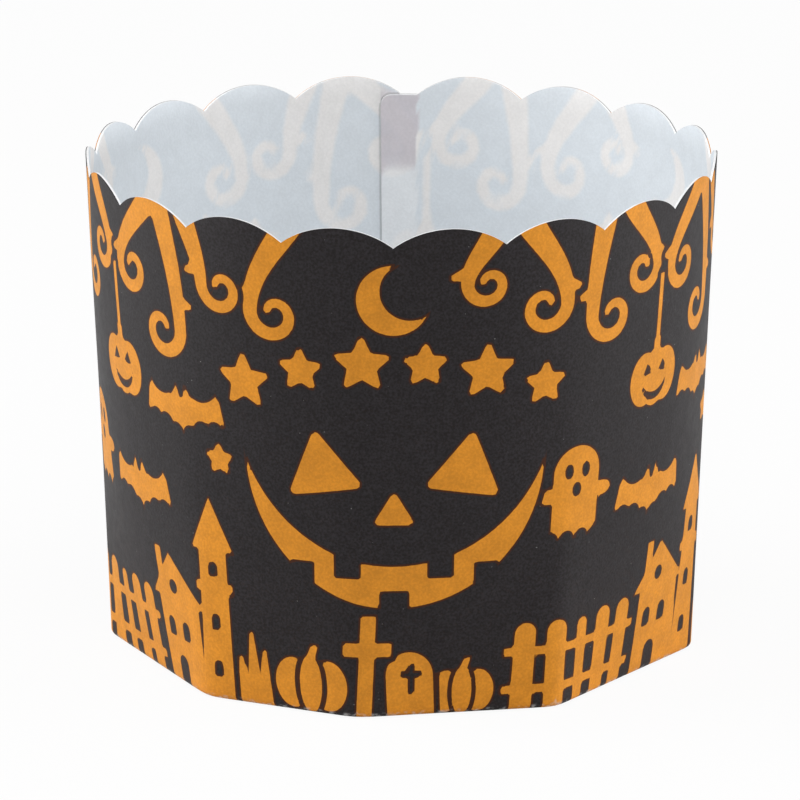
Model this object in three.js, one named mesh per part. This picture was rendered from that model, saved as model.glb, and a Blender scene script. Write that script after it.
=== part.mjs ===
// Cupcake liner: a stiff baking cup made from one sheet of greaseproof paper.
// The sheet is wrapped into a slightly tapered wall, glued along a narrow lap at the back,
// cut to scallops at the rim, and folded in at the foot, where eight pleats turn round each
// other and close the base. The base is an eight-sided figure, and its flat sides die out
// up the wall into the round rim. Millimetres, +Z up, origin under the middle of the base,
// the front at -Y and the lap at +Y.

import * as THREE from 'three';

// Driving dimensions, in millimetres and degrees
const rimRadius = 31;          // outside of the wall at the scallops' valleys
const rimSqueeze = 0.4;        // the rim is this much deeper, and narrower, than a circle
const valleyHeight = 47.8;     // from the table to a valley between two scallops
const scallopRise = 1.85;      // how far a scallop stands above its valleys
const scallopCount = 18;
const landWidth = 1.65;        // straight piece of rim between the first and last scallop
const paper = 0.3;             // thickness of the sheet
const lapWidth = 3.7;          // overlap of the sheet's two ends
const lapEase = 4.5;           // along the wall, where the end dives under the other one
const lapCornerRadius = 1.0;   // rounded top corner of the sheet's inner end
const foldRadius = 0.6;        // outside of the fold between wall and base
const cornerEase = 0.4;        // how softly the base turns at its corners
const flatFade = 2.4;          // how soon the flat sides die out up the wall
const ovalAcross = 28.6;       // half width of the oval that the base's sides stray from
const ovalDeep = 25.7;         // and its half depth
const pleatLift = 2 * paper;   // each pleat is two more layers of the sheet
const creaseDepth = paper / 2; // groove where two pleats meet under the base
const creaseHub = 0.7;         // the grooves' common mouth under the middle

// Corners of the folded base, at the fold: turn from the front towards +X, and radius
const baseCorners = [
  [-8, 26.6], [35, 27.2], [86, 28.9], [137, 27.0],
  [172, 26.6], [215, 27.2], [268, 29.0], [317, 27.0],
];
const pleatTurn = 67.5;        // a pleat's tip lies this far round from its corner
const pleatReach = Math.sin(Math.PI / 8); // and this share of the corner's radius out

// Fineness of the mesh
const stepsPerScallop = 8;
const stepsInLap = 4;
const wallRows = 8;
const foldRows = 3;

const degrees = Math.PI / 180;
const turnOf = (length) => length / rimRadius;  // angle of a length along the rim

// A point at a turn from the front (-Y) towards +X
function at(turn, radius, z) {
  return new THREE.Vector3(radius * Math.sin(turn), -radius * Math.cos(turn), z);
}

// The base's outline as a polar radius, with its corners eased
const corners = baseCorners.map(([turn, radius]) => at(turn * degrees, radius, 0));
const sides = corners.map((from, k) => {
  const along = corners[(k + 1) % corners.length].clone().sub(from).normalize();
  const normal = new THREE.Vector3(along.y, -along.x, 0);
  return { normal, reach: normal.dot(from) };
});

function baseRadius(turn) {
  const ray = at(turn, 1, 0);
  const reaches = sides
    .filter(({ normal }) => normal.dot(ray) > 0.2)
    .map(({ normal, reach }) => reach / normal.dot(ray));
  // a smooth minimum of the distances to the sides rounds the corners
  const nearest = Math.min(...reaches);
  const sum = reaches.reduce((total, reach) => total + Math.exp((nearest - reach) / cornerEase), 0);
  return nearest - cornerEase * Math.log(sum);
}

// Outside of the single sheet: straight lines from an oval at the table to the rim,
// from which the base's flat sides and corners stray less and less up the wall
function wallRadius(turn, z) {
  const share = z / valleyHeight;
  const oval = 1 / Math.hypot(Math.sin(turn) / ovalAcross, Math.cos(turn) / ovalDeep);
  const stray = (baseRadius(turn) - oval) * Math.max(1 - share, 0) ** flatFade;
  const rim = rimRadius + rimSqueeze * Math.cos(2 * turn);
  return oval + (rim - oval) * share + stray;
}

// Rim: equal arcs on a common chord, and a level land at the back
const landTurn = turnOf(landWidth);
const landEnd = Math.PI + landTurn / 2;
const pitch = (2 * Math.PI - landTurn) / scallopCount;
const chord = pitch * rimRadius;
const arcRadius = (chord * chord / 4 + scallopRise * scallopRise) / (2 * scallopRise);

function rimHeight(turn) {
  const place = (turn - landEnd) / pitch;
  if (place < 0) return valleyHeight;
  const offset = (place - Math.floor(place) - 0.5) * chord;
  return valleyHeight + Math.sqrt(arcRadius ** 2 - offset ** 2) - (arcRadius - scallopRise);
}

// The lap, from the outer end of the sheet, which is cut where the land begins, to its inner end
const lapStart = Math.PI - landTurn / 2;
const lapEnd = lapStart + turnOf(lapWidth);
const easeStart = lapStart - turnOf(lapEase);

// How far the sheet lies inside its round place, before the lap
function dive(turn) {
  const share = (turn - easeStart) / (lapStart - easeStart);
  if (share <= 0 || share > 1) return 0;
  return paper * share * share * (3 - 2 * share);
}

// Top of the sheet's inner end, level with the valleys and rounded at its free corner
function tabHeight(turn) {
  const fromEnd = (lapEnd - turn) * rimRadius;
  const inCorner = Math.max(lapCornerRadius - fromEnd, 0);
  return valleyHeight - lapCornerRadius + Math.sqrt(lapCornerRadius ** 2 - inCorner ** 2);
}

// The columns that the wall is swept through, from the lap's outer end once round
function columnTurns() {
  const columns = [];
  const add = (turn, inLap) => columns.push({ turn, inLap });
  add(lapStart, false);
  add(lapStart, true);
  const lapTurns = [landEnd];
  for (let step = 1; step <= stepsInLap; step++) {
    const rounded = lapEnd - turnOf(lapCornerRadius) * (1 - step / stepsInLap) ** 2;
    lapTurns.push(rounded);
  }
  lapTurns.forEach((turn) => add(turn, true));
  add(lapEnd, false);
  for (let scallop = 0; scallop < scallopCount; scallop++) {
    for (let step = 1; step <= stepsPerScallop; step++) {
      const turn = landEnd + pitch * (scallop + step / stepsPerScallop);
      const last = scallop === scallopCount - 1 && step === stepsPerScallop;
      if (turn > lapEnd + turnOf(0.2) && !last) add(turn, false);
    }
  }
  return columns;
}

// One column of the sheet's section: up the outside, over the cut edge and down the inside
function section({ turn, inLap }) {
  const wrapped = turn > 2 * Math.PI + easeStart - 1e-9 ? turn - 2 * Math.PI : turn;
  const sunk = inLap ? 0 : dive(wrapped);
  const top = rimHeight(turn);
  const tab = inLap ? Math.min(tabHeight(turn), top) : top;
  const inner = inLap ? 2 * paper : sunk + paper;
  const upper = inLap ? paper : inner;
  const point = (z, depth) => at(turn, wallRadius(turn, z) - depth, z);
  const points = [];
  for (let row = 0; row < foldRows; row++) {
    const bend = (row / foldRows) * Math.PI / 2;
    const z = foldRadius * (1 - Math.cos(bend));
    points.push(point(z, sunk + foldRadius * (1 - Math.sin(bend))));
  }
  for (let row = 0; row <= wallRows; row++) {
    points.push(point(foldRadius + (top - foldRadius) * row / wallRows, sunk));
  }
  points.push(point(top, upper), point(tab, upper), point(tab, inner));
  for (let row = wallRows - 1; row >= 0; row--) {
    points.push(point(paper + (tab - paper) * row / wallRows, inner));
  }
  return points;
}

// Collects triangles on shared corners and leaves out those with no area
class Skin {
  constructor() {
    this.places = [];
    this.faces = [];
    this.seen = new Map();
  }

  corner(point) {
    const key = point.toArray().map((value) => Math.round(value * 2000)).join();
    if (!this.seen.has(key)) {
      this.seen.set(key, this.places.length);
      this.places.push(point);
    }
    return this.seen.get(key);
  }

  triangle(a, b, c) {
    const face = [a, b, c].map((point) => this.corner(point));
    if (new Set(face).size === 3) this.faces.push(face);
  }

  quad(a, b, c, d) {
    this.triangle(a, b, c);
    this.triangle(a, c, d);
  }

  geometry() {
    const geometry = new THREE.BufferGeometry();
    const values = this.places.flatMap((point) => point.toArray());
    geometry.setAttribute('position', new THREE.Float32BufferAttribute(values, 3));
    geometry.setIndex(this.faces.flat());
    geometry.computeVertexNormals();
    return geometry;
  }
}

// The wall: every column joined to the next one, all the way round
function addWall(skin, columns) {
  columns.forEach((column, i) => {
    const next = columns[(i + 1) % columns.length];
    for (let row = 0; row + 1 < column.length; row++) {
      skin.quad(column[row], next[row], next[row + 1], column[row + 1]);
    }
  });
}

// The ring of points from one base corner's column to the next one's
function between(ring, from, to) {
  const part = [ring[from]];
  for (let i = from; i !== to; ) {
    i = (i + 1) % ring.length;
    part.push(ring[i]);
  }
  return part;
}

// The underside: flat sides of the pleats, with a groove on each line to the middle
function addUnderside(skin, ring, starts) {
  const middle = new THREE.Vector3(0, 0, creaseDepth);
  starts.forEach((start, k) => {
    const end = starts[(k + 1) % starts.length];
    const part = between(ring, start, end);
    const lip = part[0].clone().normalize().add(part.at(-1).clone().normalize());
    lip.setZ(0).setLength(creaseHub);
    for (let i = 0; i + 1 < part.length; i++) skin.triangle(part[i + 1], part[i], lip);
    skin.triangle(part[0], middle, lip);
    skin.triangle(part.at(-1), lip, middle);
  });
}

// The floor: eight pleats that turn round each other, each with its tip over the next one
function addFloor(skin, ring, starts) {
  const middle = new THREE.Vector3(0, 0, paper + pleatLift / 2);
  const tips = baseCorners.map(([turn, radius]) => {
    const place = (z) => at((turn + pleatTurn) * degrees, radius * pleatReach, z);
    return { low: place(paper), high: place(paper + pleatLift) };
  });
  starts.forEach((start, k) => {
    const after = (k + 1) % starts.length;
    const part = between(ring, start, starts[after]);
    const [tip, next] = [tips[k], tips[after]];
    for (let i = 0; i + 1 < part.length; i++) skin.triangle(part[i], part[i + 1], tip.high);
    skin.triangle(part.at(-1), next.low, tip.high);
    skin.triangle(next.low, middle, tip.high);
    skin.triangle(part[0], tip.high, tip.low);
    skin.triangle(middle, tip.low, tip.high);
  });
}

function makeLiner() {
  const turns = columnTurns();
  const columns = turns.map(section);
  const starts = baseCorners.map(([turn]) => {
    const gap = (column) => Math.abs(Math.sin((column.turn - turn * degrees) / 2));
    return turns.reduce((best, column, i) => (gap(column) < gap(turns[best]) ? i : best), 0);
  });
  const skin = new Skin();
  addWall(skin, columns);
  addUnderside(skin, columns.map((column) => column[0]), starts);
  addFloor(skin, columns.map((column) => column.at(-1)), starts);
  return skin.geometry();
}

const printedPaper = new THREE.MeshStandardMaterial({
  color: 0x2e2b2b, roughness: 0.62, metalness: 0,
});

const liner = new THREE.Mesh(makeLiner(), printedPaper);
liner.name = 'liner';

const cup = new THREE.Group();
cup.add(liner);

export default cup;
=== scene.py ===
"""Printed paper cupcake liner: a flat blank, printed, rolled, lapped and folded at the foot."""

import math
from collections import namedtuple

import bmesh
import bpy
import numpy as np
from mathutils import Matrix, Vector


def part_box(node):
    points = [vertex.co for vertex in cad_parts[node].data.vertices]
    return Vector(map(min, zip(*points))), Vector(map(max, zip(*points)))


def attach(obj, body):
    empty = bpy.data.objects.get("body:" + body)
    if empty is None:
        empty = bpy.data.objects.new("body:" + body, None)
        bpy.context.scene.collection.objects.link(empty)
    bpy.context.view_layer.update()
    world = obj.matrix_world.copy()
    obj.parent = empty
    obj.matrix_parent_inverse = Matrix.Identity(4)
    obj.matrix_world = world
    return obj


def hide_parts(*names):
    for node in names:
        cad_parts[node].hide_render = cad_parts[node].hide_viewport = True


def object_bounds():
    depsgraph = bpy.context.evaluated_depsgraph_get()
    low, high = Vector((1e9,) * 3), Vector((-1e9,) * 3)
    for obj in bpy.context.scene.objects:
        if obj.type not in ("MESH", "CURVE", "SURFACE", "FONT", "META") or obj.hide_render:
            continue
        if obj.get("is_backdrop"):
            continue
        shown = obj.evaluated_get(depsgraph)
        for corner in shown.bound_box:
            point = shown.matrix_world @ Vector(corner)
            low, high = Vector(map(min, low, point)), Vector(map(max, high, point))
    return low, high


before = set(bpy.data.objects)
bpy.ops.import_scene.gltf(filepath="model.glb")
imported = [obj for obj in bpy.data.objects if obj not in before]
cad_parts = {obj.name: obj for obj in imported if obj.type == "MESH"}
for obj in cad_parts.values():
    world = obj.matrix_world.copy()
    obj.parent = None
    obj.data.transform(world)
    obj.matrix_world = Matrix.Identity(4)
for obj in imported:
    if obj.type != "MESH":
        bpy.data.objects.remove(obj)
CAD_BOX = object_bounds()

bl_info = {
    "name": "Cupcake liner",
    "version": (1, 0, 0),
    "blender": (4, 5, 0),
    "location": "View3D > Sidebar > Liner",
    "description": "Folds a printed paper cupcake liner and sets a plain studio round it",
    "category": "Object",
}

MM = 0.001
LINER_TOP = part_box("liner")[1][2]

# Corners of the folded base: turn from the front in degrees, and radius in millimetres
BASE_CORNERS = (
    (-8, 26.6), (35, 27.2), (86, 28.9), (137, 27.0),
    (172, 26.6), (215, 27.2), (268, 29.0), (317, 27.0),
)
SIDE_TURN = 2 * math.pi / len(BASE_CORNERS)

# Form of the folded sheet, in millimetres, as the solid has it
SCALLOPS = 18
RIM_SQUEEZE = 0.4  # the rim is this much deeper, and narrower, than a circle
LAND_WIDTH = 1.65  # level piece of rim between the first and the last scallop
LAP_WIDTH = 3.7  # overlap of the sheet's two ends
LAP_EASE = 4.5  # along the wall, where one end dives under the other
LAP_CORNER = 1.0  # rounded top corner of the sheet's inner end
FOLD_RADIUS = 0.6  # outside of the fold between wall and base
CORNER_EASE = 0.4  # how softly the base turns at its corners
FACING = 0.2  # a side of the base counts where it faces a turn by more than this cosine
FLAT_FADE = 2.4  # how soon the flat sides die out up the wall
OVAL_ACROSS = 28.6  # half width of the oval that the base's sides stray from
OVAL_DEEP = 25.7  # and its half depth
PLEAT_TURN = math.radians(67.5)  # a pleat's tip lies this far round from its corner
PLEAT_REACH = math.sin(math.pi / 8)  # and this share of the corner's radius out
PLEAT_LAYERS = 2  # of the sheet, in each pleat
GROOVE_WIDTH = 0.35  # from the middle of a groove under the base to its side
GROOVE_FADE = 0.125  # a groove dies out over this share of its length, at the fold
INK_DEPTH = 0.08  # how far the ink reaches into the rim's cut edge

# The top of the lap, down to here, has print behind both of its layers
DOUBLED_DEPTH = 8.0
DOUBLED_FADE = 1.5

# Wear runs along the fold at this height, and from each corner of the base it reaches this
# many times as far up the wall as along the fold
WORN_HEIGHT = FOLD_RADIUS / 4
WORN_RUN = 3
FAR_FROM_WEAR_AND_SHADOW = 9.0  # stands for a place far from any crease and from the lap's edge

# Fineness of the sheet
STEPS_PER_SCALLOP = 28
STEPS_IN_LAP = 8
OUTSIDE_ROWS = 116
INSIDE_ROWS = 40
UNDER_ROWS = 10
FOLD_ROWS = 4
FLOOR_ROWS = 6
HUB_ROWS = 3
CROWDING = 1.5  # power by which rows and columns crowd towards the lap's top and end
COLUMN_GAP = 0.1  # least distance from the lap's end to the next column
SHARP_ANGLE = math.radians(32)
SAME = 1e-9  # a share or turn too small to matter
MERGE = 1e-7  # metres

# On the unfolded sheet, a pleat's tip lies this share of the base's radius past the fold
TIP_SHARE = 0.6

# The print repeats this many times round the cup
REPEATS = 3

# Material slots of the sheet
OUTSIDE, EDGE, INSIDE = range(3)

# A line of the sheet at one turn, from the middle of the underside to the middle of the floor,
# which ends in one pleat, at a share of the way to the next one
Column = namedtuple("Column", "turn in_lap pleat share")

# A point of the sheet. Turn and height are its place in the print, on the unfolded wall. Layers
# is 1 in the lap, doubled is 1 at the lap's top, and crease is the distance to
# a crease, where wear goes; on the inner face it is the distance past the lap's edge, where a
# painted shadow goes.
Spot = namedtuple("Spot", "place turn height layers doubled crease")

# The studio, in metres. The floor lies a little below the base, so that the two don't flicker.
FLOOR_RADIUS = 2.4
FLOOR_GAP = 0.00005
FLOOR_LEVEL = 0.78
FLOOR_GLOW = 0.93  # share of plain white in the floor as the camera sees it
WORLD_LIGHT = 0.32  # strength of the white world on the liner; the camera sees 1
SENSOR_WIDTH = 36  # millimetres
LAMP_AIM = Vector((0, 0, 0.025))

# Name, place, width and height, and power in watts
LAMPS = (
    ("left", (-0.75, -0.02, 0.42), (0.6, 0.6), 4.5),
    ("left_low", (-0.75, 0.0, 0.04), (0.6, 0.07), 2.7),
    ("right", (0.75, -0.04, 0.42), (0.6, 0.6), 2.4),
    ("right_low", (0.75, -0.04, 0.04), (0.6, 0.07), 3.4),
    ("front", (0.05, -0.55, 0.75), (0.5, 0.5), 3.8),
)


class LinerSizes(bpy.types.PropertyGroup):
    rim_radius: bpy.props.FloatProperty(
        name="Rim radius", description="Outside of the wall at the scallops' valleys",
        default=31 * MM, unit="LENGTH")
    scallop_rise: bpy.props.FloatProperty(
        name="Scallop rise", description="How far a scallop stands above its valleys",
        default=1.85 * MM, unit="LENGTH")
    height: bpy.props.FloatProperty(
        name="Height", description="From the table to the top of a scallop",
        default=LINER_TOP, unit="LENGTH")
    paper: bpy.props.FloatProperty(
        name="Paper", description="Thickness of the sheet",
        default=0.3 * MM, unit="LENGTH")


class LinerColours(bpy.types.PropertyGroup):
    ink: bpy.props.FloatVectorProperty(
        name="Ink", description="Black of the printed ground",
        default=(0.0085, 0.006, 0.0062), size=3, subtype="COLOR")
    thin_ink: bpy.props.FloatVectorProperty(
        name="Thin ink", description="The black where it lies thin on the paper's grain",
        default=(0.019, 0.0165, 0.0185), size=3, subtype="COLOR")
    orange: bpy.props.FloatVectorProperty(
        name="Orange", description="Orange of the printed shapes",
        default=(0.555, 0.212, 0.014), size=3, subtype="COLOR")
    outline: bpy.props.FloatVectorProperty(
        name="Outline", description="Dark line where orange and black overlap",
        default=(0.042, 0.010, 0.001), size=3, subtype="COLOR")
    paper: bpy.props.FloatVectorProperty(
        name="Paper", description="Unprinted paper",
        default=(0.86, 0.87, 0.88), size=3, subtype="COLOR")
    behind_ink: bpy.props.FloatVectorProperty(
        name="Behind ink", description="Inside of the paper where black shows through",
        default=(0.725, 0.768, 0.806), size=3, subtype="COLOR")
    behind_orange: bpy.props.FloatVectorProperty(
        name="Behind orange", description="Inside of the paper where orange shows through",
        default=(0.85, 0.83, 0.815), size=3, subtype="COLOR")
    behind_both: bpy.props.FloatVectorProperty(
        name="Behind both", description="Top of the lap, where two printed layers show through",
        default=(0.56, 0.51, 0.55), size=3, subtype="COLOR")


class StudioSizes(bpy.types.PropertyGroup):
    distance: bpy.props.FloatProperty(
        name="Camera distance", description="From the camera to the middle of the picture",
        default=0.806, unit="LENGTH")
    elevation: bpy.props.FloatProperty(
        name="Elevation", description="Camera above the horizon",
        default=math.radians(15.5), unit="ROTATION")
    azimuth: bpy.props.FloatProperty(
        name="Azimuth", description="Camera to the right of the front",
        default=math.radians(1.43), unit="ROTATION")
    lens: bpy.props.FloatProperty(
        name="Lens", description="Focal length in millimetres on a 36 mm sensor", default=370.2)
    aim_height: bpy.props.FloatProperty(
        name="Aim height", description="Height of the middle of the picture",
        default=0.02443, unit="LENGTH")
    aim_side: bpy.props.FloatProperty(
        name="Aim side", description="The middle of the picture, to the right of the axis",
        default=-0.00014, unit="LENGTH")


def smoothstep(share):
    """Eases a share from 0 to 1."""
    share = min(max(share, 0.0), 1.0)
    return share * share * (3 - 2 * share)


def at(turn, radius, z=0.0):
    """A point at a turn from the front towards +X."""
    return Vector((radius * math.sin(turn), -radius * math.cos(turn), z))


class Fold:
    """The liner's form in millimetres: where each place of the sheet ends up."""

    def __init__(self, sizes):
        self.rim = sizes.rim_radius / MM
        self.rise = sizes.scallop_rise / MM
        self.valley = sizes.height / MM - self.rise
        self.paper = sizes.paper / MM
        self.land_turn = LAND_WIDTH / self.rim
        self.land_end = math.pi + self.land_turn / 2
        self.pitch = (2 * math.pi - self.land_turn) / SCALLOPS
        self.chord = self.pitch * self.rim
        self.arc = (self.chord**2 / 4 + self.rise**2) / (2 * self.rise)
        self.lap_start = math.pi - self.land_turn / 2
        self.lap_end = self.lap_start + LAP_WIDTH / self.rim
        self.ease_turn = LAP_EASE / self.rim
        corners = [at(math.radians(turn), radius) for turn, radius in BASE_CORNERS]
        self.sides = []
        for start, end in zip(corners, corners[1:] + corners[:1]):
            along = (end - start).normalized()
            normal = Vector((along.y, -along.x, 0))
            self.sides.append((normal, normal.dot(start)))

    def base_radius(self, turn):
        """Radius of the base, where a smooth minimum over its sides eases the corners."""
        ray = at(turn, 1)
        facing = [(normal.dot(ray), reach) for normal, reach in self.sides]
        reaches = [reach / cosine for cosine, reach in facing if cosine > FACING]
        nearest = min(reaches)
        total = sum(math.exp((nearest - reach) / CORNER_EASE) for reach in reaches)
        return nearest - CORNER_EASE * math.log(total)

    def rim_height(self, turn):
        """Height of the rim, which is level on the land and an arc on each scallop."""
        place = (turn - self.land_end) / self.pitch
        if place < 0:
            return self.valley
        offset = (place - math.floor(place) - 0.5) * self.chord
        return self.valley + math.sqrt(self.arc**2 - offset**2) - (self.arc - self.rise)

    def dive(self, turn):
        """How far the sheet lies inside its round place, before the lap."""
        gap = (self.lap_start - turn + SAME) % (2 * math.pi)
        return self.paper * smoothstep(1 - gap / self.ease_turn)

    def tab_height(self, turn):
        """Top of the sheet's inner end, rounded at its free corner."""
        in_corner = max(LAP_CORNER - (self.lap_end - turn) * self.rim, 0)
        return self.valley - LAP_CORNER + math.sqrt(max(LAP_CORNER**2 - in_corner**2, 0))

    def turns(self):
        """Turns of the columns from the lap's outer end once round, and which lie in the lap."""
        steps = [step / STEPS_IN_LAP for step in range(1, STEPS_IN_LAP + 1)]
        left = self.lap_end - self.land_end
        turns = [(self.lap_start, False), (self.lap_start, True)]
        turns += [(self.lap_start + self.land_turn * step, True) for step in steps]
        turns += [(self.lap_end - left * (1 - step) ** CROWDING, True) for step in steps]
        turns.append((self.lap_end, False))
        for step in range(1, SCALLOPS * STEPS_PER_SCALLOP):
            turn = self.land_end + self.pitch * step / STEPS_PER_SCALLOP
            if turn > self.lap_end + COLUMN_GAP / self.rim:
                turns.append((turn, False))
        return turns

    def columns(self):
        """The columns pleat by pleat, with the first one again at the end."""
        turns = self.turns()
        starts = []
        for pleat, (corner, _) in enumerate(BASE_CORNERS):
            gaps = [abs(math.sin((turn - math.radians(corner)) / 2)) for turn, _ in turns]
            starts.append((gaps.index(min(gaps)), pleat))
        starts.sort()
        columns = []
        for (start, pleat), (end, _) in zip(starts, starts[1:] + starts[:1]):
            span = (end - start) % len(turns)
            for step in range(span + 1):
                columns.append(Column(*turns[(start + step) % len(turns)], pleat, step / span))
        return columns + columns[:1]

    def section(self, column):
        """One column of the sheet, from the middle of the underside to the middle of the floor."""
        turn, paper = column.turn, self.paper
        base = self.base_radius(turn)
        oval = 1 / math.hypot(math.sin(turn) / OVAL_ACROSS, math.cos(turn) / OVAL_DEEP)
        sunk = 0.0 if column.in_lap else self.dive(turn)
        top = self.rim_height(turn)
        tab = min(self.tab_height(turn), top) if column.in_lap else top
        inner = 2 * paper if column.in_lap else sunk + paper
        upper = paper if column.in_lap else inner
        to_corner = min(column.share, 1 - column.share) * SIDE_TURN * base
        past_lap = (turn - self.lap_end) % (2 * math.pi) * self.rim
        rim = self.rim + RIM_SQUEEZE * math.cos(2 * turn)

        def wall(z, depth):
            """A place on the wall, this deep under its outer face."""
            share = z / self.valley
            stray = (base - oval) * max(1 - share, 0) ** FLAT_FADE
            place = at(turn, oval + (rim - oval) * share + stray - depth, z)
            crease = min(abs(z - WORN_HEIGHT), to_corner + z / WORN_RUN)
            layers = 1.0 if column.in_lap and z <= tab else 0.0
            doubled = layers * smoothstep((DOUBLED_DEPTH - tab + z) / DOUBLED_FADE)
            return Spot(place, turn, z, layers, doubled, crease)

        def lining(z, depth):
            """A place on the inner face, with its distance past the lap's cut edge for the painted
            shadow.
            """
            crease = past_lap + max(z - self.valley + LAP_CORNER, 0)
            if column.in_lap:
                crease = z - tab if depth < inner else FAR_FROM_WEAR_AND_SHADOW
            return wall(z, depth)._replace(crease=crease)

        def foot(place, past, crease):
            """A place on the base, this far past the fold on the unfolded sheet."""
            return Spot(place, turn, -past, 0.0, 0.0, crease)

        spots = []
        ring = wall(0, sunk + FOLD_RADIUS).place
        for row in range(UNDER_ROWS):
            share = row / UNDER_ROWS
            groove = paper / 2 * smoothstep(1 - to_corner * share / GROOVE_WIDTH)
            groove *= smoothstep((1 - share) / GROOVE_FADE)
            place = ring * share + Vector((0, 0, groove))
            spots.append(foot(place, (1 - share) * base, to_corner * share))
        for row in range(FOLD_ROWS):
            bend = row / FOLD_ROWS * math.pi / 2
            depth = sunk + FOLD_RADIUS * (1 - math.sin(bend))
            spots.append(wall(FOLD_RADIUS * (1 - math.cos(bend)), depth))
        for row in range(OUTSIDE_ROWS + 1):
            spots.append(wall(FOLD_RADIUS + (top - FOLD_RADIUS) * row / OUTSIDE_ROWS, sunk))
        spots.append(wall(top, sunk + INK_DEPTH))
        spots += [lining(top, upper), lining(tab, upper), lining(tab, inner)]
        for row in range(1, INSIDE_ROWS + 1):
            spots.append(lining(tab + (paper - tab) * (row / INSIDE_ROWS) ** CROWDING, inner))
        foot_edge = spots[-1].place
        tip = self.pleat_tip(column)
        middle = Vector((0, 0, paper + PLEAT_LAYERS * paper / 2))
        for row in range(1, FLOOR_ROWS + 1):
            share = row / FLOOR_ROWS
            past = base * TIP_SHARE * share
            spots.append(foot(foot_edge.lerp(tip, share), past, FAR_FROM_WEAR_AND_SHADOW))
        for row in range(1, HUB_ROWS + 1):
            share = row / HUB_ROWS
            past = base * (TIP_SHARE + (1 - TIP_SHARE) * share)
            spots.append(foot(tip.lerp(middle, share), past, FAR_FROM_WEAR_AND_SHADOW))
        return spots

    def pleat_tip(self, column):
        """Where a floor line runs to: along the pleat from its own tip to the next one's."""
        following = (column.pleat + 1) % len(BASE_CORNERS)
        near = self.tip_place(column.pleat, self.paper * (1 + PLEAT_LAYERS))
        far = self.tip_place(following, self.paper)
        return near.lerp(far, column.share)

    @staticmethod
    def tip_place(pleat, z):
        """A pleat's tip, at a height on the floor inside."""
        corner, radius = BASE_CORNERS[pleat]
        return at(math.radians(corner) + PLEAT_TURN, radius * PLEAT_REACH, z)


# Print shapes. Each one gives the distance in millimetres to its outline, below 0 inside it.


def join(*shapes):
    return np.minimum.reduce(shapes)


def cut(shape, *tools):
    for tool in tools:
        shape = np.maximum(shape, -tool)
    return shape


def weld(shapes, soft):
    """Joins shapes and fills the corners between them softly."""
    whole = shapes[0]
    for shape in shapes[1:]:
        share = np.clip(0.5 + (shape - whole) / (2 * soft), 0, 1)
        whole = shape + (whole - shape) * share - soft * share * (1 - share)
    return whole


def disc(x, z, radius):
    return np.hypot(x, z) - radius


def oval(x, z, across, tall):
    size = np.hypot(x / across, z / tall)
    slope = np.hypot(x / across**2, z / tall**2) + SAME
    return (size - 1) * size / slope


def block(x, z, across, tall, soft=0.0):
    """A box of half width and half height, with soft corners."""
    beside, above = np.abs(x) - across + soft, np.abs(z) - tall + soft
    outside = np.hypot(np.maximum(beside, 0), np.maximum(above, 0))
    return outside + np.minimum(np.maximum(beside, above), 0) - soft


def polygon(x, z, corners, soft=0.0):
    nearest = np.full_like(x, np.inf)
    inside = np.zeros(x.shape, bool)
    for (ax, az), (bx, bz) in zip(corners, corners[1:] + corners[:1]):
        along_x, along_z = bx - ax, bz - az
        share = ((x - ax) * along_x + (z - az) * along_z) / (along_x**2 + along_z**2)
        share = np.clip(share, 0, 1)
        gap = np.hypot(x - ax - along_x * share, z - az - along_z * share)
        nearest = np.minimum(nearest, gap)
        if az != bz:
            crosses = (az > z) != (bz > z)
            inside ^= crosses & (x < ax + along_x * (z - az) / along_z)
    return np.where(inside, -nearest, nearest) - soft


def stroke(x, z, path, thick, thin):
    """A line through points that tapers from one half width to another."""
    shape = np.full_like(x, np.inf)
    count = len(path) - 1
    for i in range(count):
        (ax, az), (bx, bz) = path[i], path[i + 1]
        along_x, along_z = bx - ax, bz - az
        share = ((x - ax) * along_x + (z - az) * along_z) / (along_x**2 + along_z**2)
        share = np.clip(share, 0, 1)
        width = thick + (thin - thick) * (i + share) / count
        gap = np.hypot(x - ax - along_x * share, z - az - along_z * share)
        shape = np.minimum(shape, gap - width)
    return shape


def arch(x, z, across, tall):
    """A block that stands on its own foot, with a round top."""
    return join(block(x, z - tall / 2, across, tall / 2), disc(x, z - tall, across))


def star(x, z, radius, tips=5, waist=0.42, soft=0.3):
    """A plain star whose notches lie at a share of its radius."""
    corners = []
    for i in range(2 * tips):
        reach = radius * waist if i % 2 else radius - 0.25
        turn = i * math.pi / tips
        corners.append((reach * math.sin(turn), reach * math.cos(turn)))
    return polygon(x, z, corners, soft)


def moon(x, z):
    return cut(disc(x, z, 3.5), disc(x - 1.6, z - 0.9, 2.9))


def carved_face(x, z):
    """A traditional carved pumpkin's face: three-cornered eyes and nose, a toothed grin."""
    x = np.abs(x)
    eye = polygon(x, z, [(3.7, 4.2), (9.8, 3.2), (7.6, 8.8)], 0.45)
    nose = polygon(x, z, [(-1.5, 0.4), (1.5, 0.4), (0, 2.9)], 0.35)
    grin = cut(disc(x, z - 6.5, 15), disc(x, z - 12, 16.2))
    grin = cut(
        grin,
        block(x - 4.6, z + 3.6, 1.35, 1.9, 0.25),
        block(x, z + 8.6, 1.5, 1.9, 0.25),
        block(x - 9.2, z + 5.9, 1.25, 1.9, 0.25),
    )
    return join(eye, nose, grin)


def bat(x, z):
    side = np.abs(x)
    wing = polygon(side, z, [
        (-1, 1.1), (0.35, 1.1), (0.8, 2.7), (1.6, 1.1), (4.7, 3.2), (6.0, 1.5), (6.5, -1.3),
        (4.2, -1.9), (2.3, -2.1), (0, -3.2), (-1, -3.2),
    ], 0.08)
    return cut(
        wing,
        disc(side - 3.25, z - 3.85, 2.75),
        disc(side - 5.1, z + 2.35, 1.35),
        disc(side - 3.15, z + 2.75, 1.5),
        disc(side - 1.25, z + 3.4, 1.3),
    )


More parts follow.
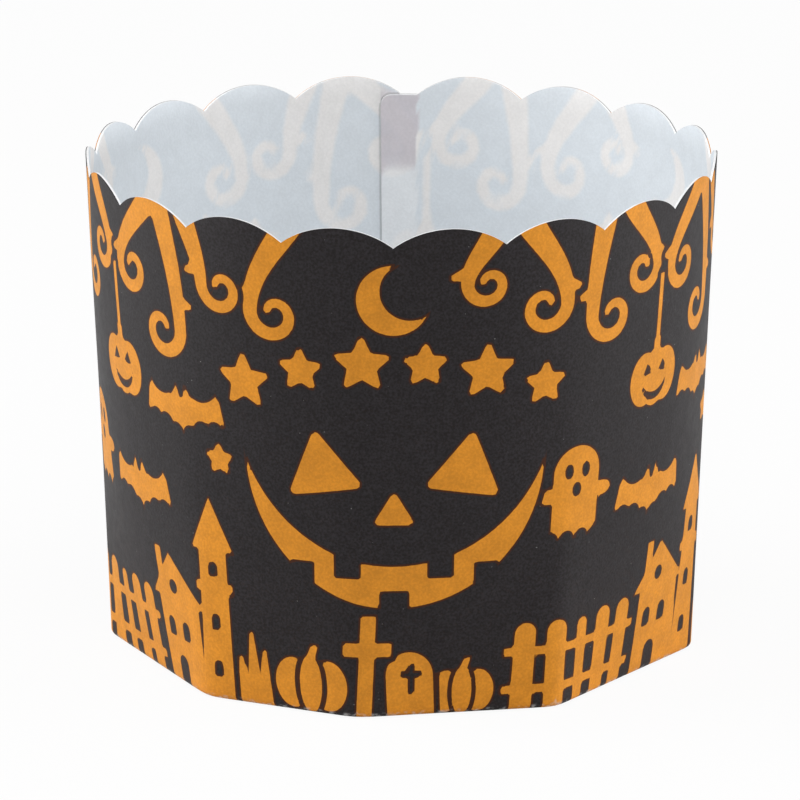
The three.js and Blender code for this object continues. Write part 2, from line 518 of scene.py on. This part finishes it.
def sheet_ghost(x, z):
    side = np.abs(x)
    body = join(disc(x, z - 2.3, 2.7), block(x, z + 0.9, 2.7, 3.3))
    arm = oval(side - 3.1, z - 0.2, 1.3, 0.75)
    hem = np.abs((x + 0.9) % 1.8 - 0.9)
    return cut(
        join(body, arm),
        disc(hem - 0.9, z + 4.3, 0.85),
        oval(side - 1.0, z - 2.5, 0.5, 0.8),
        oval(x, z - 0.6, 0.55, 0.75),
    )


def pumpkin(x, z):
    side = np.abs(x)
    body = join(oval(x, z, 2.0, 2.9), oval(side - 1.9, z, 2.0, 2.6))
    stem = polygon(x, z, [(-0.5, 2.5), (0.5, 2.5), (0.95, 4.1), (0.25, 4.1)])
    seam = np.abs(oval(x, z, 1.5, 3.3)) - 0.29
    return join(cut(body, seam), stem)


def lantern(x, z):
    """A pumpkin with a plain carved face, on a string."""
    side = np.abs(x)
    return join(
        cut(
            join(oval(x, z, 2.2, 2.9), oval(side - 1.7, z, 2.1, 2.7)),
            polygon(side, z, [(0.5, 0.5), (2.0, 0.3), (1.3, 1.7)]),
            cut(disc(x, z + 0.2, 2.1), disc(x, z - 0.9, 2.4)),
        ),
        block(x, z - 3.3, 0.5, 0.7, 0.1),
        block(x, z - 7, 0.3, 3.4),
    )


def fence(x, z, boards=5, pitch=3.3):
    """Round-topped boards of uneven size on two rails."""
    nearest = np.clip(np.round(x / pitch), -(boards // 2), boards // 2)
    board = arch(x - nearest * pitch, z + 2, 0.95, 9.95)
    uneven = board + 0.25 * np.cos(nearest * 2.1)
    half = pitch * boards / 2 + 0.4
    return join(uneven, block(x, z - 2.2, half, 0.42), block(x, z - 6.1, half, 0.42))


def house(x, z):
    """A crooked cottage with a tower beside it."""
    lean = x + z * 0.05
    walls = block(lean, z - 4.2, 3.7, 5.2)
    roof = polygon(lean, z, [(-4.9, 8.8), (4.7, 8.8), (-0.6, 13.6)])
    chimney = block(lean + 2.7, z - 12.2, 0.55, 1.7)
    tower = x - 5.2 - z * 0.03
    shaft = block(tower, z - 7, 1.6, 9)
    balcony = block(tower, z - 11.6, 2.15, 0.5)
    spire = polygon(tower, z, [(-2.5, 15.4), (2.5, 15.4), (0, 20.8)])
    return cut(
        join(walls, roof, chimney, shaft, balcony, spire),
        arch(lean + 1.9, z - 4.9, 0.7, 1.3),
        arch(lean - 1.0, z - 4.9, 0.7, 1.3),
        arch(lean + 0.5, z + 1, 0.95, 3.2),
        disc(lean + 0.5, z - 10.2, 0.75),
        arch(tower, z - 12.7, 0.55, 1.0),
        arch(tower, z - 7.2, 0.5, 1.2),
        arch(tower, z - 2.4, 0.5, 1.2),
    )


def cross(x, z):
    lean = x - z * 0.06
    return join(block(lean, z - 4.5, 0.75, 6, 0.1), block(lean, z - 7.0, 2.4, 0.7, 0.1))


def gravestone(x, z):
    mark = join(block(x, z - 3.9, 0.36, 1.6), block(x, z - 4.4, 1.1, 0.36))
    return cut(arch(x + z * 0.04, z + 2, 2.4, 6.3), mark)


def grass(x, z, spread=1.35):
    """Three pointed blades, the middle one the tallest."""
    blades = []
    for k in (-1, 0, 1):
        tall = 7.4 - 2.2 * k * k + 0.7 * math.sin(k * 2.4)
        foot = k * 0.9
        corners = [(foot - 1.0, -2), (foot + 1.0, -2), (k * spread, tall)]
        blades.append(polygon(x, z, corners, 0.22))
    return join(*blades)


def curl(centre_x, centre_z, radius, hand, loops=0.92, narrowing=0.7, steps=24):
    """Points of an open spiral that starts on its outer side, going down."""
    points = []
    for step in range(steps + 1):
        share = step / steps
        angle = math.pi + loops * 2 * math.pi * share
        reach = radius * (1 - narrowing * share)
        beside = hand * reach * math.cos(angle)
        points.append((centre_x + beside, centre_z + reach * math.sin(angle)))
    return points


def bough(root, end_x, end_z, steps=12):
    """Points of a bend that leaves the rim aslant and arrives at a curl downwards."""
    bends = ((root, 4), (root + (end_x - root) * 0.2, 0.5), (end_x, end_z * 0.35), (end_x, end_z))
    points = []
    for step in range(steps + 1):
        share = step / steps
        left = 1 - share
        weights = (left**3, 3 * left**2 * share, 3 * left * share**2, share**3)
        points.append(tuple(sum(w * bend[i] for w, bend in zip(weights, bends)) for i in (0, 1)))
    return points


def branch(x, z, curls, root_width=1.5, end_width=0.36, soft=0.7):
    """A bare branch that hangs from the rim, with a thorn above each curl that it ends in."""
    shapes = []
    for root, reach, drop, radius, hand in curls:
        spiral = curl(reach, -drop, radius, hand)
        limb = bough(root, *spiral[0])
        neck_width = 0.29 * radius
        knot_x, knot_z = limb[-3]
        thorn = [(knot_x, knot_z), (knot_x - hand * 1.5, knot_z - 0.4)]
        shapes.append(join(
            stroke(x, z, limb, root_width, neck_width),
            stroke(x, z, spiral, neck_width, end_width),
            stroke(x, z, thorn, 0.8, 0.35),
        ))
    return weld(shapes, soft)


# Branches on the rim: turn from the front in degrees, then root, sideways reach, drop, radius
# and hand of each curl in millimetres
BRANCHES = (
    (-47, ((0, -4.9, 5.6, 2.4, 1), (-0.3, -0.4, 10.8, 2.6, -1), (3.0, 7.7, 5.4, 2.3, 1))),
    (-15.5, ((-0.5, -3.4, 7.2, 2.5, 1),)),
    (21, ((0.6, 3.6, 6.6, 2.5, -1), (-0.6, -2.2, 3.8, 2.1, 1))),
    (42, ((-0.7, 0.4, 8.6, 2.5, 1), (1.5, 4.4, 4.8, 2.3, -1))),
)

# A bow of stars of two sizes, which sags by this much at so many degrees from its middle
STARS = 6
STAR_STEP = 11.5
STAR_RADII = (2.7, 2.1)
BOW_TOP = 36.2
BOW_SAG = 3.0
BOW_REACH = 30

# Ink between a shape and those behind it
KNOCK_OUT = 0.65


class Print:
    """The printed picture, as a distance in millimetres to the edge of the orange."""

    def __init__(self, fold, turn, height):
        self.turn = turn
        self.height = height
        mean_oval = (OVAL_ACROSS + OVAL_DEEP) / 2
        lift = np.maximum(height / fold.valley, 0)
        self.radius = mean_oval + (fold.rim - mean_oval) * lift
        self.valley = fold.valley

    def put(self, shape, degrees, height=0.0, size=1.0, *more):
        """Draws a shape at degrees from the front and a height, once in each repeat."""
        span = 2 * math.pi / REPEATS
        beside = (self.turn - math.radians(degrees) + span / 2) % span - span / 2
        x = beside * self.radius / size
        z = (self.height - height) / size
        return shape(x, z, *more) * size

    def orange(self):
        """The whole picture, where each shape stands in front of those after it."""
        put = self.put
        shapes = [
            put(carved_face, 0, 19.8),
            put(moon, 0, 42.6),
            put(bat, 59, 20, 0.85),
            put(bat, -44, 29.5, 0.8),
            put(star, -35.5, 25.0, 1, 1.5),
            put(sheet_ghost, 37, 21.5),
            put(lantern, 56.5, 31.5),
            put(house, -50.5),
            put(pumpkin, -18, 3.0),
            put(grass, -31.2),
            put(cross, -6.5),
            put(gravestone, 3.5),
            put(pumpkin, 14.5, 2.4, 0.85),
            put(fence, 41.2),
        ]
        for i in range(STARS):
            degrees = (i - (STARS - 1) / 2) * STAR_STEP
            height = BOW_TOP - BOW_SAG * (degrees / BOW_REACH) ** 2
            shapes.append(put(star, degrees, height, 1, STAR_RADII[i % 2]))
        for degrees, curls in BRANCHES:
            shapes.append(put(branch, degrees, self.valley, 1, curls))
        picture = shapes[0]
        for behind in shapes[1:]:
            picture = join(picture, cut(behind, picture - KNOCK_OUT))
        return picture


class Field:
    """A shader socket that takes part in sums."""

    def __init__(self, tree, socket):
        self.tree = tree
        self.socket = socket

    def sum_of(self, operation, *values):
        node = self.tree.nodes.new("ShaderNodeMath")
        node.operation = operation
        for socket, value in zip(node.inputs, values):
            wire(self.tree, socket, value)
        return Field(self.tree, node.outputs[0])

    def __add__(self, other):
        return self.sum_of("ADD", self, other)

    __radd__ = __add__

    def __sub__(self, other):
        return self.sum_of("SUBTRACT", self, other)

    def __rsub__(self, other):
        return self.sum_of("SUBTRACT", other, self)

    def __mul__(self, other):
        return self.sum_of("MULTIPLY", self, other)

    __rmul__ = __mul__


def wire(tree, socket, value):
    if isinstance(value, Field):
        tree.links.new(value.socket, socket)
    else:
        socket.default_value = value


class Finish:
    """A material under construction, with its one shader."""

    def __init__(self, name):
        self.material = bpy.data.materials.new(name)
        self.material.use_nodes = True
        self.tree = self.material.node_tree
        self.shader = self.tree.nodes["Principled BSDF"]

    def node(self, kind, settings, sockets, output=0):
        node = self.tree.nodes.new(kind)
        for name, value in settings.items():
            setattr(node, name, value)
        for name, value in sockets.items():
            wire(self.tree, node.inputs[name], value)
        return Field(self.tree, node.outputs[output])

    def set(self, **sockets):
        for name, value in sockets.items():
            wire(self.tree, self.shader.inputs[name.replace("_", " ")], value)

    def attribute(self, name):
        return self.node("ShaderNodeAttribute", {"attribute_name": name}, {}, "Fac")

    def place(self):
        return self.node("ShaderNodeTexCoord", {}, {}, "Object")

    def noise(self, scale, detail=2.0):
        sockets = {"Vector": self.place(), "Scale": scale, "Detail": detail}
        return self.node("ShaderNodeTexNoise", {}, sockets)

    def rise(self, value, low, high):
        """0 at low and 1 at high, eased between, where low may be the larger."""
        sockets = {"Value": value, "From Min": low, "From Max": high}
        return self.node("ShaderNodeMapRange", {"interpolation_type": "SMOOTHSTEP"}, sockets)

    def mix(self, share, first, second, blend="MIX"):
        settings = {"data_type": "RGBA", "blend_type": blend}
        return self.node("ShaderNodeMix", settings, {0: share, 6: first, 7: second}, 2)

    def bump(self, height, strength, depth):
        sockets = {"Height": height, "Strength": strength, "Distance": depth}
        return self.node("ShaderNodeBump", {}, sockets)


def solid(colour):
    return (*colour, 1.0)


def shade(level):
    return (level, level, level, 1.0)


# Scales of the noise in the finishes: the larger, the finer
FIBRE = 3800
CLOUD = 520
RAGGED_EDGE = 1600
INK_MOTTLE = 4200
INK_SPECKS = 3000
WORN_PATCHES = 1500
SHEEN = 900
BLURRED_EDGE = 700

# Height of the paper's grain, in metres, and how strongly it shows
GRAIN_HEIGHT = 0.00004
GRAIN_STRENGTH = 0.35

# Greys of worn ink, of a speck in the ink, and of the painted shadow beside the lap
WORN_LEVEL = 0.5
SPECK_LEVEL = 0.35
SHADOW_LEVEL = 0.3


def paper_grain(finish, colour, depth):
    """Fine mottle of pressed paper on a colour, and the bump that goes with it."""
    fibre = finish.noise(FIBRE, 3)
    cloud = finish.noise(CLOUD, 2)
    patches = finish.mix(finish.rise(cloud, 0.3, 0.7), shade(1 - depth), shade(1 + depth * 0.6))
    colour = finish.mix(1.0, colour, patches, "MULTIPLY")
    grain = finish.mix(finish.rise(fibre, 0.35, 0.7), shade(1 - depth), shade(1 + depth))
    colour = finish.mix(1.0, colour, grain, "MULTIPLY")
    return colour, finish.bump(fibre + cloud * 0.6, GRAIN_STRENGTH, GRAIN_HEIGHT)


def printed_outside(colours):
    """Black ink and orange, a dark line where they overlap, and wear along the folds."""
    finish = Finish("printed_outside")
    ragged = (finish.noise(RAGGED_EDGE) - 0.5) * 0.05
    gap = finish.attribute("print_gap") + ragged
    orange = finish.rise(gap, 0.03, -0.03)
    line = finish.rise(gap, 0.25, 0.15)
    mottle = finish.rise(finish.noise(INK_MOTTLE, 2), 0.3, 0.7)
    ink = finish.mix(mottle, solid(colours.ink), solid(colours.thin_ink))
    speck = finish.rise(finish.noise(INK_SPECKS, 1), 0.8, 0.82)
    ink = finish.mix(speck * 0.4, ink, shade(SPECK_LEVEL))
    colour = finish.mix(line, ink, solid(colours.outline))
    colour = finish.mix(orange, colour, solid(colours.orange))
    colour, bump = paper_grain(finish, colour, 0.085)
    near_crease = finish.rise(finish.attribute("crease"), 0.5, 0.05)
    broken = finish.rise(finish.noise(WORN_PATCHES, 3), 0.48, 0.68)
    colour = finish.mix(near_crease * broken * 0.6, colour, shade(WORN_LEVEL))
    finish.set(
        Base_Color=colour, Normal=bump,
        Roughness=finish.noise(SHEEN) * 0.14 + 0.42,
        Specular_IOR_Level=0.19,
    )
    return finish.material


def cut_edge(colours):
    """Bare paper, where the sheet is cut."""
    finish = Finish("cut_edge")
    colour, bump = paper_grain(finish, solid(colours.paper), 0.03)
    finish.set(Base_Color=colour, Normal=bump, Roughness=0.8)
    return finish.material


def plain_inside(colours):
    """The unprinted face: print shows through softly, less at the lap, more at the lap's top."""
    finish = Finish("plain_inside")
    blurred = (finish.noise(BLURRED_EDGE) - 0.5) * 0.3
    gap = finish.attribute("print_gap") + blurred
    behind = finish.rise(gap, 0.35, -0.25)
    colour = finish.mix(behind, solid(colours.behind_ink), solid(colours.behind_orange))
    colour = finish.mix(finish.attribute("layers") * 0.6, colour, solid(colours.paper))
    colour = finish.mix(finish.attribute("doubled") * 0.75, colour, solid(colours.behind_both))
    # Painted shadow: a thin grey line on the inner face just outside the lap's cut edge
    lap_shadow_mask = finish.rise(finish.attribute("crease"), 0.3, 0.1)
    colour = finish.mix(lap_shadow_mask * 0.5, colour, shade(SHADOW_LEVEL))
    colour, bump = paper_grain(finish, colour, 0.025)
    finish.set(Base_Color=colour, Normal=bump, Roughness=0.72)
    return finish.material


class LINER_OT_fold(bpy.types.Operator):
    """Fold the printed sheet into the liner"""

    bl_idname = "liner.fold"
    bl_label = "Fold the liner"

    def execute(self, context):
        fold = Fold(context.scene.liner_sizes)
        columns = fold.columns()
        spots = [fold.section(column) for column in columns]
        across, along = len(spots), len(spots[0])
        sheet = self.flat_sheet(across, along)
        self.lay_materials(sheet, columns, along)
        self.wrap(sheet, fold, spots)
        self.close(sheet)
        mesh = bpy.data.meshes.new("liner_sheet")
        sheet.to_mesh(mesh)
        sheet.free()
        piece = bpy.data.objects.new("liner_sheet", mesh)
        context.scene.collection.objects.link(piece)
        colours = context.scene.liner_colours
        for make in (printed_outside, cut_edge, plain_inside):
            mesh.materials.append(make(colours))
        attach(piece, "root")
        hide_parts("liner")
        return {"FINISHED"}

    @staticmethod
    def flat_sheet(across, along):
        """A grid that reaches from 0 to 1 both ways."""
        sheet = bmesh.new()
        bmesh.ops.create_grid(sheet, x_segments=across - 1, y_segments=along - 1, size=0.5)
        bmesh.ops.translate(sheet, verts=sheet.verts, vec=(0.5, 0.5, 0))
        if len(sheet.verts) != across * along:
            raise RuntimeError("the grid has another number of points than the sheet")
        return sheet

    @staticmethod
    def lay_materials(sheet, columns, along):
        """Gives each face of the flat grid its material, with the cut edge at rim and ends."""
        across = len(columns)
        rim_row = UNDER_ROWS + FOLD_ROWS + OUTSIDE_ROWS + 1
        tab_row = rim_row + 2
        ends = {
            i for i, (one, two) in enumerate(zip(columns, columns[1:]))
            if one.in_lap != two.in_lap
        }
        for face in sheet.faces:
            centre = face.calc_center_median()
            row = int(centre.y * (along - 1))
            face.material_index = OUTSIDE if row < rim_row else INSIDE
            if row in (rim_row, tab_row) or int(centre.x * (across - 1)) in ends:
                face.material_index = EDGE
            face.smooth = True

    @staticmethod
    def wrap(sheet, fold, spots):
        """Moves every point of the flat grid to its place, and notes the print there."""
        across, along = len(spots), len(spots[0])
        turn = np.array([[spot.turn for spot in column] for column in spots])
        height = np.array([[spot.height for spot in column] for column in spots])
        gaps = Print(fold, turn, height).orange()
        layer = sheet.verts.layers.float
        print_gap, layers, doubled, crease = (
            layer.new(name) for name in ("print_gap", "layers", "doubled", "crease")
        )
        for vert in sheet.verts:
            i, j = round(vert.co.x * (across - 1)), round(vert.co.y * (along - 1))
            spot = spots[i][j]
            vert.co = spot.place * MM
            vert[print_gap] = gaps[i, j]
            vert[layers] = spot.layers
            vert[doubled] = spot.doubled
            vert[crease] = spot.crease

    @staticmethod
    def close(sheet):
        """Welds the two ends and the middles, and keeps the cut edges sharp."""
        bmesh.ops.remove_doubles(sheet, verts=sheet.verts, dist=MERGE)
        bmesh.ops.dissolve_degenerate(sheet, edges=sheet.edges, dist=MERGE)
        for edge in sheet.edges:
            if len(edge.link_faces) != 2 or edge.calc_face_angle(0) > SHARP_ANGLE:
                edge.smooth = False


class LINER_OT_studio(bpy.types.Operator):
    """Set the floor, the light and the camera"""

    bl_idname = "liner.studio"
    bl_label = "Set the studio"

    def execute(self, context):
        scene = context.scene
        scene.view_settings.view_transform = "Standard"
        self.floor(scene)
        self.world(scene)
        for name, place, size, power in LAMPS:
            self.lamp(scene, name, place, size, power)
        self.camera(scene, scene.liner_studio)
        return {"FINISHED"}

    @staticmethod
    def floor(scene):
        """A round floor that the camera sees as nearly white."""
        disk = bmesh.new()
        bmesh.ops.create_circle(disk, cap_ends=True, segments=96, radius=FLOOR_RADIUS)
        bmesh.ops.translate(disk, verts=disk.verts, vec=(0, 0, -FLOOR_GAP))
        mesh = bpy.data.meshes.new("floor")
        disk.to_mesh(mesh)
        disk.free()
        piece = bpy.data.objects.new("floor", mesh)
        scene.collection.objects.link(piece)
        finish = Finish("floor")
        finish.set(Base_Color=shade(FLOOR_LEVEL), Roughness=0.9)
        seen = finish.node("ShaderNodeLightPath", {}, {}, "Is Camera Ray")
        white = finish.node("ShaderNodeEmission", {}, {"Color": shade(1.0), "Strength": 1.0})
        lit = Field(finish.tree, finish.shader.outputs[0])
        mixed = finish.node("ShaderNodeMixShader", {}, {0: seen * FLOOR_GLOW, 1: lit, 2: white})
        wire(finish.tree, finish.tree.nodes["Material Output"].inputs["Surface"], mixed)
        mesh.materials.append(finish.material)
        piece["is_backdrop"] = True

    @staticmethod
    def world(scene):
        """A white world that the camera sees at full strength, and the liner at less."""
        world = bpy.data.worlds.new("studio")
        world.use_nodes = True
        scene.world = world
        tree = world.node_tree
        path = tree.nodes.new("ShaderNodeLightPath")
        camera_ray = Field(tree, path.outputs["Is Camera Ray"])
        background = tree.nodes["Background"]
        background.inputs["Color"].default_value = shade(1.0)
        strength = camera_ray * (1 - WORLD_LIGHT) + WORLD_LIGHT
        wire(tree, background.inputs["Strength"], strength)

    @staticmethod
    def lamp(scene, name, place, size, power):
        """An area lamp that looks at the middle of the liner."""
        light = bpy.data.lights.new(name, "AREA")
        light.shape = "RECTANGLE"
        light.size, light.size_y = size
        light.energy = power
        lamp = bpy.data.objects.new(name, light)
        lamp.location = place
        aim = LAMP_AIM - lamp.location
        lamp.rotation_euler = aim.to_track_quat("-Z", "Y").to_euler()
        scene.collection.objects.link(lamp)

    @staticmethod
    def camera(scene, studio):
        """A camera on a sphere round the point that it looks at."""
        azimuth, elevation = studio.azimuth, studio.elevation
        back = Vector((
            math.sin(azimuth) * math.cos(elevation),
            -math.cos(azimuth) * math.cos(elevation),
            math.sin(elevation),
        ))
        right = Vector((math.cos(azimuth), math.sin(azimuth), 0))
        aim = Vector((0, 0, studio.aim_height)) + right * studio.aim_side
        data = bpy.data.cameras.new("camera")
        data.lens = studio.lens
        data.sensor_width = SENSOR_WIDTH
        data.clip_start = 0.05
        camera = bpy.data.objects.new("camera", data)
        camera.location = aim + back * studio.distance
        camera.rotation_euler = (-back).to_track_quat("-Z", "Y").to_euler()
        scene.collection.objects.link(camera)
        scene.camera = camera


class LINER_PT_panel(bpy.types.Panel):
    """Steps that make the liner and its studio"""

    bl_idname = "LINER_PT_panel"
    bl_label = "Cupcake liner"
    bl_space_type = "VIEW_3D"
    bl_region_type = "UI"
    bl_category = "Liner"

    def draw(self, context):
        layout = self.layout
        for group in (
            context.scene.liner_sizes, context.scene.liner_colours, context.scene.liner_studio,
        ):
            for name in group.__annotations__:
                layout.prop(group, name)
        layout.operator(LINER_OT_fold.bl_idname)
        layout.operator(LINER_OT_studio.bl_idname)


CLASSES = (
    LinerSizes, LinerColours, StudioSizes, LINER_OT_fold, LINER_OT_studio, LINER_PT_panel,
)


def register():
    for cls in CLASSES:
        bpy.utils.register_class(cls)
    bpy.types.Scene.liner_sizes = bpy.props.PointerProperty(type=LinerSizes)
    bpy.types.Scene.liner_colours = bpy.props.PointerProperty(type=LinerColours)
    bpy.types.Scene.liner_studio = bpy.props.PointerProperty(type=StudioSizes)


def unregister():
    del bpy.types.Scene.liner_studio
    del bpy.types.Scene.liner_colours
    del bpy.types.Scene.liner_sizes
    for cls in reversed(CLASSES):
        bpy.utils.unregister_class(cls)


def main():
    register()
    bpy.ops.liner.fold()
    bpy.ops.liner.studio()
    sizes = {
        name: [list(corner) for corner in box]
        for name, box in (("cad", CAD_BOX), ("visual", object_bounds()))
    }


if __name__ == "__main__":
    main()
